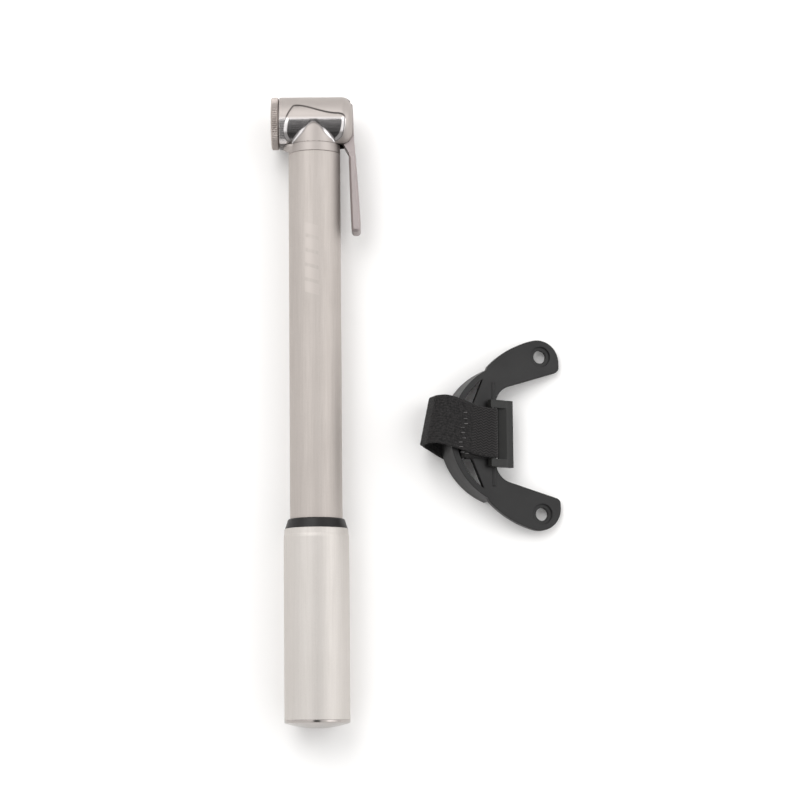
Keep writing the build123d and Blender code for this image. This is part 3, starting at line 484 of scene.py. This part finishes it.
# ---- neck's foot: a plain ring flush with the barrel, flared into the head under the cap, and the spigot below it
footForm = {
    "radius": 10.5, "top": -9.55, "bottom": -13.1, "edge": 0.12, "spigotRadius": 9.38, "spigotEnd": -20.1,
    "flare": 2.0, "flareTop": -10.7, "flareDrop": 2.2, "flareSide": (0.78, 0.97), "lip": 1.5,
    "rows": 44, "around": 200,
}


# point = (r cos a, y, r sin a): r is the turned profile, plus a quarter-round fillet towards the cap's side
def footSurface(s):
    edge = s["edge"]
    side = np.linspace(s["bottom"] + edge, s["top"] - edge, s["rows"])
    y = np.concatenate([[s["spigotEnd"], s["bottom"], s["bottom"]], side, [s["top"], s["top"]]])
    r = np.concatenate([
        [s["spigotRadius"], s["spigotRadius"], s["radius"] - edge], np.full(s["rows"], s["radius"]),
        [s["radius"] - edge, s["radius"] - s["lip"]]])
    a = np.arange(s["around"])[None, :] * 2.0 * math.pi / s["around"]
    fall = np.clip((s["flareTop"] - y) / s["flareDrop"], 0.0, 1.0)
    flare = s["flare"] * (1.0 - np.sqrt(1.0 - (1.0 - fall) ** 2)) * (r >= s["radius"])
    r = r[:, None] + flare[:, None] * smoothRamp(-np.cos(a), *s["flareSide"])
    return np.stack([r * np.cos(a), valveY + y[:, None] + 0.0 * a, r * np.sin(a)], axis=-1)


neckFoot = addPiece("neckFoot", gridMesh("neckFoot", footSurface(footForm)), sharp=30.0)
for mark in ("polish", "crease"):
    neckFoot.data.attributes.new(mark, "FLOAT", "POINT")
neckFoot.data.materials.append(castMetal)
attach(neckFoot, "pump_body")
print("neck foot made")

# ---- strap: woven webbing, sewn round the buckle's bar, through the bracket and round its bow
strapForm = {
    "origin": (91.0, -40.3, -8.4287), "tilt": 17.0, "width": 20.0, "thick": 1.35, "skew": 12.0, "shift": 5.4,
    "skewFrom": 0.34, "skewIn": 0.16, "skewOut": 0.3,
    "line": ((-22.1, 0.775), (-33.4, 0.775), (-33.4, -14.075), (-35.3, -14.975), (-38.6, -15.425), (-43.2, -14.375),
             (-46.4, -8.475), (-46.0, -0.525), (-43.5, 2.175), (-29.1, 2.175), (-22.1, 4.445)),
    "rounds": (1.1, 0.9, 1.2, 2.0, 3.0, 4.5, 3.0, 1.4, 6.0), "bar": (-22.1, 2.61), "foldRadius": 1.835,
    "rows": 560, "foldRows": 36, "across": 44, "selvedge": 8, "rib": 1.2, "ribDepth": 0.05,
    "band": 1.7, "ribFrom": 0.9, "selvedgeStep": 0.3, "hookRows": 64,
}


# a route of straight runs with each corner rounded by an arc, tangent length radius * tan(turn / 2)
def roundedRoute(points, rounds, steps=12):
    way = np.diff(points, axis=0)
    way /= np.linalg.norm(way, axis=1)[:, None]
    before, after = way[:-1], way[1:]
    turn = np.arctan2(before[:, 0] * after[:, 1] - before[:, 1] * after[:, 0], (before * after).sum(axis=1))
    left = np.stack([-before[:, 1], before[:, 0]], axis=1) * np.sign(turn)[:, None]
    start = points[1:-1] - before * (rounds * np.tan(np.abs(turn) / 2))[:, None]
    centre = start + left * rounds[:, None]
    angle = turn[:, None] * np.linspace(0.0, 1.0, steps)[None, :]
    arm = (start - centre)[:, None, :]
    arcs = centre[:, None, :] + np.stack([
        arm[..., 0] * np.cos(angle) - arm[..., 1] * np.sin(angle),
        arm[..., 0] * np.sin(angle) + arm[..., 1] * np.cos(angle)], axis=-1)
    return np.concatenate([points[:1], arcs.reshape(-1, 2), points[-1:]])


# (along the plate, across it, off it) to the place in the scene: origin + u * (cos, 0, -sin) + n * (sin, 0, cos)
def onBracket(u, v, n, s):
    c, w = math.cos(math.radians(s["tilt"])), math.sin(math.radians(s["tilt"]))
    ox, oy, oz = s["origin"]
    return np.stack([ox + u * c + n * w, oy + v, oz - u * w + n * c], axis=-1)


# point = middle + across * side + height * normal: the middle runs round the route and the fold, side turns by the
# skew on the front layer, and height carries the weft's ribs, cos(2 pi along / rib), out of step in every other band
def strapSurface(s):
    route = roundedRoute(np.array(s["line"]), np.array(s["rounds"]))
    passed = np.concatenate([[0.0], np.cumsum(np.linalg.norm(np.diff(route, axis=0), axis=1))])
    share = np.linspace(0.0, 1.0, s["rows"])
    runs = np.stack([np.interp(share * passed[-1], passed, route[:, k]) for k in (0, 1)], axis=1)
    bend = np.linspace(math.pi / 2, -math.pi / 2, s["foldRows"] + 2)[1:-1]
    fold = np.array(s["bar"]) + s["foldRadius"] * np.stack([np.cos(bend), np.sin(bend)], axis=1)
    middle = np.concatenate([runs, fold])
    ahead = np.roll(middle, -1, axis=0) - np.roll(middle, 1, axis=0)
    ahead /= np.linalg.norm(ahead, axis=1)[:, None]
    length = np.concatenate([[0.0], np.cumsum(np.linalg.norm(np.diff(middle, axis=0, append=middle[:1]), axis=1))])
    turn = np.concatenate([
        np.clip((share - s["skewFrom"]) / s["skewIn"], 0.0, 1.0) * np.clip((1.0 - share) / s["skewOut"], 0.0, 1.0),
        np.zeros(s["foldRows"])])
    turn = turn * turn * (3.0 - 2.0 * turn)
    skew, shift = np.radians(s["skew"]) * turn, s["shift"] * turn
    half, wide = s["thick"] / 2, s["width"] / 2 - s["thick"] / 2
    flat = np.linspace(-wide, wide, s["across"])
    selvedge = np.linspace(math.pi / 2, -math.pi / 2, s["selvedge"] + 2)[1:-1]
    across = np.concatenate([flat, wide + half * np.cos(selvedge), flat[::-1], -wide - half * np.cos(selvedge)])
    height = np.concatenate([
        np.full(len(flat), half), half * np.sin(selvedge), np.full(len(flat), -half), -half * np.sin(selvedge)])
    band = np.where(np.floor(across / s["band"]) % 2 == 0, 0.0, math.pi)
    rib = s["ribDepth"] * (np.cos(2 * math.pi * length[:-1, None] / s["rib"] + band[None, :]) - 1.0)
    height = height[None, :] + rib * np.sign(height)[None, :] * (np.abs(height) > s["ribFrom"] * half)[None, :]
    across = across[None, :] + 0.0 * height
    u = middle[:, :1] + across * np.sin(skew)[:, None] - height * ahead[:, 1:]
    v = shift[:, None] + across * np.cos(skew)[:, None]
    n = middle[:, 1:] + height * ahead[:, :1]
    girth = np.concatenate([[0.0], np.cumsum(np.hypot(np.diff(across[0], append=across[0, 0]), s["selvedgeStep"]))])
    return onBracket(u, v, n, s), (length, girth)


# polyester webbing, woven with a brushed loop face: matt charcoal on the crown of each yarn, darkened to near black
# in the hollows between as painted shade, and a knitted zigzag where the hook face is sewn on. Yarns are drawn 1.3 mm
# apart, coarser than real ones, so that they show
def wovenWebbing(name, s):
    material, tree = newMaterial(name)
    weave = (addNode(tree, "UVMap", {"uv_map": "weave"}), "UV")
    apart = addNode(tree, "SeparateXYZ", sockets={"Vector": weave})

    def yarns(value):
        wave = addNode(tree, "Math", {"operation": "MULTIPLY"}, {0: value, 1: 2 * math.pi / s["yarn"]})
        return addNode(tree, "Math", {"operation": "SINE"}, {0: (wave, "Value")}), "Value"

    fluff = addNode(tree, "TexNoise", sockets={
        "Vector": weave, "Scale": 1 / s["loop"], "Detail": 4.0, "Roughness": 0.65})
    loops = addNode(tree, "TexVoronoi", {"feature": "F1"}, {
        "Vector": weave, "Scale": 1 / s["loop"], "Randomness": 0.8})
    bounce = addNode(tree, "Math", {"operation": "PINGPONG"}, {0: (apart, "X"), 1: s["zig"]})
    lean = addNode(tree, "Math", {"operation": "MULTIPLY_ADD"}, {0: (bounce, "Value"), 1: s["lean"], 2: (apart, "Y")})
    knit = addNode(tree, "MapRange", sockets={"Value": yarns((lean, "Value")), "From Min": -1.0})
    loopHeight = addNode(tree, "MapRange", sockets={
        "Value": (loops, "Distance"), "From Max": 0.9, "To Min": 1.0, "To Max": 0.0})
    brushed = addNode(tree, "Math", {"operation": "MULTIPLY_ADD"}, {
        0: yarns((apart, "Y")), 1: s["ripple"], 2: (loopHeight, "Result")})
    hooked = softStep(tree, (apart, "X"), (s["hookFrom"] - 0.3, s["hookFrom"] + 0.3))
    height = mixNumber(tree, (hooked, "Result"), (brushed, "Value"), (knit, "Result"))
    mixed = addNode(tree, "Math", {"operation": "MULTIPLY"}, {0: height, 1: (fluff, "Fac")})
    # painted shade: low points of the yarn height are darkened towards toneLow, while the crowns keep the webbing's
    # own tone
    crown = addNode(tree, "MapRange", sockets={
        "Value": (mixed, "Value"), "From Min": s["crown"][0], "From Max": s["crown"][1]})
    shade = mixTone(tree, (crown, "Result"), linear(s["toneLow"]), linear(s["tone"]))
    bump = addNode(tree, "Bump", sockets={"Strength": s["bump"], "Distance": 0.0002, "Height": (mixed, "Value")})
    shader = addNode(tree, "BsdfPrincipled", sockets={
        "Base Color": shade, "Roughness": s["rough"], "IOR": s["ior"], "Sheen Weight": s["sheen"],
        "Sheen Roughness": 0.4, "Normal": (bump, "Normal")})
    finishMaterial(tree, shader)
    return material


strapPoints, strapWays = strapSurface(strapForm)
strap = addPiece("strapWebbing", gridMesh("strapWebbing", strapPoints, ring=True, ways=strapWays), sharp=80.0)
# toneLow here is the painted shade in the hollows between yarns
webbingFinish = {
    "tone": "#343232", "toneLow": "#121111", "loop": 0.7, "zig": 1.1, "lean": 0.9, "yarn": 1.3, "ripple": 0.12,
    "crown": (0.05, 0.6), "bump": 0.8, "rough": 0.85, "sheen": 0.05, "ior": 1.35,
    "hookFrom": float(strapWays[0][strapForm["rows"] - strapForm["hookRows"]]),
}
strap.data.materials.append(wovenWebbing("polyesterWebbingWoven", webbingFinish))
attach(strap, "bracket")
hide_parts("strap")
print("strap made", len(strap.data.polygons))

# ---- stitches that hold the hook face down: short bars of thread in a wavering column
stitchForm = {
    "length": 1.7, "radius": 0.2, "height": 2.98, "along": 11, "around": 8,
    "places": ((-33.2, 8.0), (-33.2, 5.5), (-33.0, 3.5), (-34.5, 1.9), (-34.3, -0.1), (-33.9, -2.3), (-35.4, -4.0),
               (-35.2, -5.8), (-34.6, -8.0), (-32.8, -8.5)),
}


# point = place + (t length / 2, r cos a, lift + r sin a), r = radius sqrt(1 - t^4), lift dipping by t * t at the ends
def stitchSurface(place, s):
    t = np.linspace(-0.98, 0.98, s["along"])[:, None]
    a = np.arange(s["around"])[None, :] * 2.0 * math.pi / s["around"]
    r = s["radius"] * np.sqrt(1.0 - t ** 4)
    u = place[0] + t * s["length"] / 2 + 0.0 * a
    return onBracket(u, place[1] + r * np.cos(a), s["height"] - 0.2 * t * t + r * np.sin(a), strapForm)


def makeStitches(s):
    bars = [gridMesh("bar", stitchSurface(place, s)) for place in s["places"]]
    joined = bmesh.new()
    for bar in bars:
        joined.from_mesh(bar)
        bpy.data.meshes.remove(bar)
    mesh = bpy.data.meshes.new("strapStitches")
    joined.to_mesh(mesh)
    joined.free()
    return addPiece("strapStitches", mesh, sharp=60.0)


# polyester thread, twisted: a soft sheen with the ply's slant, 0.4 mm to a turn; painted shade in the plies' grooves
def twistedThread(name, s):
    material, tree = newMaterial(name)
    place = addNode(tree, "TexCoord")
    ply = addNode(tree, "TexWave", {"wave_type": "BANDS", "bands_direction": "DIAGONAL"}, {
        "Vector": (place, "Object"), "Scale": 1000 / s["ply"] / 20, "Distortion": 1.0, "Detail": 2.0})
    # painted shade: the grooves between plies, low in the bump, are darkened towards toneLow
    shade = mixTone(tree, (ply, "Fac"), linear(s["toneLow"]), linear(s["tone"]))
    bump = addNode(tree, "Bump", sockets={"Strength": 0.6, "Distance": 0.0001, "Height": (ply, "Fac")})
    shader = addNode(tree, "BsdfPrincipled", sockets={
        "Base Color": shade, "Roughness": 0.6, "Sheen Weight": 0.2, "Normal": (bump, "Normal")})
    finishMaterial(tree, shader)
    return material


stitches = makeStitches(stitchForm)
threadFinish = {"tone": "#545151", "toneLow": "#383636", "ply": 0.4}
stitches.data.materials.append(twistedThread("polyesterThreadTwisted", threadFinish))
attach(stitches, "bracket")
print("stitches made")


# ---- metals
# bead-blasted, anodised aluminium: a fine even sparkle, faint clouding, sizes of the texture in mm
def blastedAluminium(name, s):
    material, tree = newMaterial(name)
    place = (addNode(tree, "TexCoord"), "Object")
    grain = lumps(tree, place, s["grain"], 4.0, 0.6)
    cloud = lumps(tree, place, s["cloud"], 3.0)
    stretch = addNode(tree, "Mapping", sockets={"Vector": place, "Scale": s["drawn"]})
    drawn = lumps(tree, (stretch, "Vector"), s["line"], 3.0)
    tone = mixTone(tree, cloud, linear(s["tone"]), linear(s["toneLow"]))
    sparkle = spread(tree, grain, 0.93, 1.0)
    colour = (addNode(tree, "Mix", {"data_type": "RGBA", "blend_type": "MULTIPLY"}, {0: 1.0, 6: tone, 7: sparkle}), 2)
    rough = spread(tree, drawn, s["rough"] - 0.05, s["rough"] + 0.05)
    if "marks" in s:
        mask = tonalMarks(tree, place, s["marks"])
        colour = mixTone(tree, mask, colour, linear(s["marks"]["tone"]))
        rough = mixNumber(tree, mask, rough, s["marks"]["rough"])
    edge = addNode(tree, "Bevel", {"samples": 6}, {"Radius": s["edge"] * mm})
    bump = addNode(tree, "Bump", sockets={
        "Strength": s["bump"], "Distance": 0.00003, "Height": grain, "Normal": (edge, "Normal")})
    shader = addNode(tree, "BsdfPrincipled", sockets={
        "Base Color": colour, "Metallic": 1.0, "Roughness": rough, "Normal": (bump, "Normal")})
    finishMaterial(tree, shader)
    return material


# a row of plain slanted bars on the upper side: fract((y + slant x - start) / pitch) < share, within a band of x
def tonalMarks(tree, place, s):
    def reckon(operation, a, b=0.0, c=0.0):
        return addNode(tree, "Math", {"operation": operation}, {0: a, 1: b, 2: c}), "Value"

    apart = addNode(tree, "SeparateXYZ", sockets={"Vector": place})
    lean = reckon("MULTIPLY_ADD", (apart, "X"), s["slant"], (apart, "Y"))
    count = addNode(tree, "MapRange", {"clamp": False}, {
        "Value": lean, "From Min": s["low"] * mm, "From Max": s["high"] * mm, "To Max": float(s["bars"])})
    away = reckon("ABSOLUTE", reckon("SUBTRACT", (apart, "X"), s["middle"] * mm))
    mask = reckon("LESS_THAN", reckon("FRACT", (count, "Result")), s["share"])
    for other in (
            reckon("GREATER_THAN", (count, "Result"), 0.0), reckon("LESS_THAN", (count, "Result"), float(s["bars"])),
            reckon("LESS_THAN", away, s["half"] * mm), reckon("GREATER_THAN", (apart, "Z"), 0.0)):
        mask = reckon("MULTIPLY", mask, other)
    return mask


barrelFinish = {
    "tone": "#C0B9B4", "toneLow": "#B8B1AC", "grain": 0.35, "cloud": 16.0, "drawn": (1.0, 0.03, 1.0), "line": 0.6,
    "rough": 0.62, "bump": 0.3, "edge": 0.15,
    "marks": {"low": 15.3, "high": 45.1, "bars": 5, "share": 0.76, "slant": 0.3, "middle": -1.0, "half": 2.8,
              "tone": "#BAB3AE", "rough": 0.56},
}
handleFinish = {
    "tone": "#CFCAC6", "toneLow": "#C9C4BF", "grain": 0.35, "cloud": 20.0, "drawn": (1.0, 0.03, 1.0), "line": 0.7,
    "rough": 0.58, "bump": 0.3, "edge": 0.2,
}
leverFinish = {
    "tone": "#A89F9E", "toneLow": "#A09796", "grain": 0.3, "cloud": 9.0, "drawn": (1.0, 0.1, 1.0), "line": 0.4,
    "rough": 0.5, "bump": 0.25, "edge": 0.35,
}
rodFinish = {
    "tone": "#D9D7D3", "toneLow": "#CFCDC9", "grain": 0.25, "cloud": 12.0, "drawn": (1.0, 0.02, 1.0), "line": 0.3,
    "rough": 0.25, "bump": 0.15, "edge": 0.15,
}
wear("barrel", blastedAluminium("anodisedAluminiumBlasted", barrelFinish))
wear("handle_sleeve", blastedAluminium("anodisedAluminiumFineBlasted", handleFinish))
wear("thumb_lever", blastedAluminium("anodisedAluminiumPressed", leverFinish))
wear("piston_rod", blastedAluminium("anodisedAluminiumDrawn", rodFinish))
print("blasted metals done")


# turned metal: fine rings about an axis, height = noise of the distance from that axis
def turnedMetal(name, s):
    material, tree = newMaterial(name)
    place = (addNode(tree, "TexCoord"), "Object")
    centred = addNode(tree, "Mapping", {"vector_type": "POINT"}, {
        "Vector": place, "Location": [-c * mm * k for c, k in zip(s["centre"], s["across"])], "Scale": s["across"]})
    away = addNode(tree, "VectorMath", {"operation": "LENGTH"}, {0: (centred, "Vector")})
    rings = addNode(tree, "TexNoise", {"noise_dimensions": "1D"}, {
        "W": (away, "Value"), "Scale": 1 / (s["ring"] * mm), "Detail": 3.0})
    cloud = lumps(tree, place, s["cloud"], 4.0)
    tone = mixTone(tree, cloud, linear(s["tone"]), linear(s["toneLow"]))
    rough = spread(tree, cloud, s["rough"] - 0.03, s["rough"] + 0.04)
    edge = addNode(tree, "Bevel", {"samples": 6}, {"Radius": s["edge"] * mm})
    bump = addNode(tree, "Bump", sockets={
        "Strength": s["bump"], "Distance": 0.00002, "Height": (rings, "Fac"), "Normal": (edge, "Normal")})
    shader = addNode(tree, "BsdfPrincipled", sockets={
        "Base Color": tone, "Metallic": 1.0, "Roughness": rough, "Normal": (bump, "Normal")})
    finishMaterial(tree, shader)
    return material


endCapFinish = {
    "tone": "#B4AEAA", "toneLow": "#A9A39F", "ring": 0.35, "cloud": 5.0, "rough": 0.2, "bump": 0.5, "edge": 0.2,
    "centre": (0, 0, 0), "across": (1, 0, 1),
}
knurlFinish = {
    "tone": "#BCB3AE", "toneLow": "#AEA5A0", "ring": 0.3, "cloud": 2.0, "rough": 0.42, "bump": 0.4, "edge": 0.08,
    "centre": (0, valveY, 0), "across": (0, 1, 1),
}
steelFinish = {
    "tone": "#B9B9B7", "toneLow": "#A9A9A8", "ring": 0.2, "cloud": 1.5, "rough": 0.28, "bump": 0.3, "edge": 0.08,
    "centre": (0, 0, 0), "across": (1, 0, 1),
}
brassFinish = {
    "tone": "#D9B56A", "toneLow": "#C8A35B", "ring": 0.2, "cloud": 1.5, "rough": 0.3, "bump": 0.3, "edge": 0.08,
    "centre": (0, 0, 0), "across": (1, 0, 1),
}
wear("end_cap", turnedMetal("aluminiumTurnedPolished", endCapFinish))
wear("valve_cap", turnedMetal("anodisedAluminiumKnurled", knurlFinish))
steel = turnedMetal("steelZincPlated", steelFinish)
for node in ("lever_pin", "check_valve_ball", "check_valve_spring", "piston_screw", "rod_screw"):
    wear(node, steel)
wear("check_valve_seat", turnedMetal("brassTurned", brassFinish))
print("turned metals done")


# moulded plastic or rubber: a spark-eroded grain, slightly uneven gloss, faint paler scuffs
def mouldedPolymer(name, s):
    material, tree = newMaterial(name)
    place = (addNode(tree, "TexCoord"), "Object")
    grain = lumps(tree, place, s["grain"], 3.0, 0.55)
    cloud = lumps(tree, place, s["cloud"], 4.0)
    tone = mixTone(tree, cloud, linear(s["tone"]), linear(s["toneLow"]))
    handled = lumps(tree, place, s["cloud"] / 2, 8.0, 0.75)
    scuff = addNode(tree, "MapRange", sockets={
        "Value": handled, "From Min": 0.52, "From Max": 0.72, "To Max": s["scuff"]})
    shade = mixTone(tree, (scuff, "Result"), tone, linear(s["scuffTone"]))
    rough = spread(tree, cloud, s["rough"] - 0.05, s["rough"] + 0.06)
    edge = addNode(tree, "Bevel", {"samples": 6}, {"Radius": s["edge"] * mm})
    bump = addNode(tree, "Bump", sockets={
        "Strength": s["bump"], "Distance": 0.00004, "Height": grain, "Normal": (edge, "Normal")})
    shader = addNode(tree, "BsdfPrincipled", sockets={
        "Base Color": shade, "Roughness": rough, "IOR": s["ior"], "Normal": (bump, "Normal")})
    finishMaterial(tree, shader)
    return material


nylonFinish = {
    "tone": "#181717", "toneLow": "#121111", "scuffTone": "#242322", "scuff": 0.3, "grain": 0.3, "cloud": 9.0,
    "rough": 0.45, "bump": 0.35, "edge": 0.5, "ior": 1.4,
}
collarFinish = {
    "tone": "#171514", "toneLow": "#12100F", "scuffTone": "#24211F", "scuff": 0.25, "grain": 0.25, "cloud": 6.0,
    "rough": 0.42, "bump": 0.25, "edge": 0.25, "ior": 1.36,
}
buckleFinish = {
    "tone": "#1D1D1B", "toneLow": "#171716", "scuffTone": "#2C2B29", "scuff": 0.3, "grain": 0.4, "cloud": 5.0,
    "rough": 0.32, "bump": 0.2, "edge": 0.4, "ior": 1.42,
}
rubberFinish = {
    "tone": "#1F1F1F", "toneLow": "#191919", "scuffTone": "#333333", "scuff": 0.3, "grain": 0.2, "cloud": 3.0,
    "rough": 0.6, "bump": 0.3, "edge": 0.1, "ior": 1.52,
}
whiteFinish = {
    "tone": "#DCDAD2", "toneLow": "#CFCDC5", "scuffTone": "#F0EEE8", "scuff": 0.3, "grain": 0.25, "cloud": 3.0,
    "rough": 0.35, "bump": 0.2, "edge": 0.1, "ior": 1.48,
}
wear("mounting_bracket", mouldedPolymer("nylonMouldedGrained", nylonFinish))
wear("handle_collar", mouldedPolymer("acetalMoulded", collarFinish))
wear("strap_buckle", mouldedPolymer("nylonMouldedGlossy", buckleFinish))
rubber = mouldedPolymer("nitrileRubberMoulded", rubberFinish)
for node in ("neck_seal", "valve_gland", "rod_bumper", "piston_cup", "plunger_seal"):
    wear(node, rubber)
blackPlastic = mouldedPolymer("acetalTurnedBlack", collarFinish)
for node in ("rod_guide", "end_plug", "piston_head", "gland_plunger"):
    wear(node, blackPlastic)
whitePlastic = mouldedPolymer("acetalTurnedWhite", whiteFinish)
for node in ("piston_glide_ring", "cap_washer"):
    wear(node, whitePlastic)
print("plastics done")
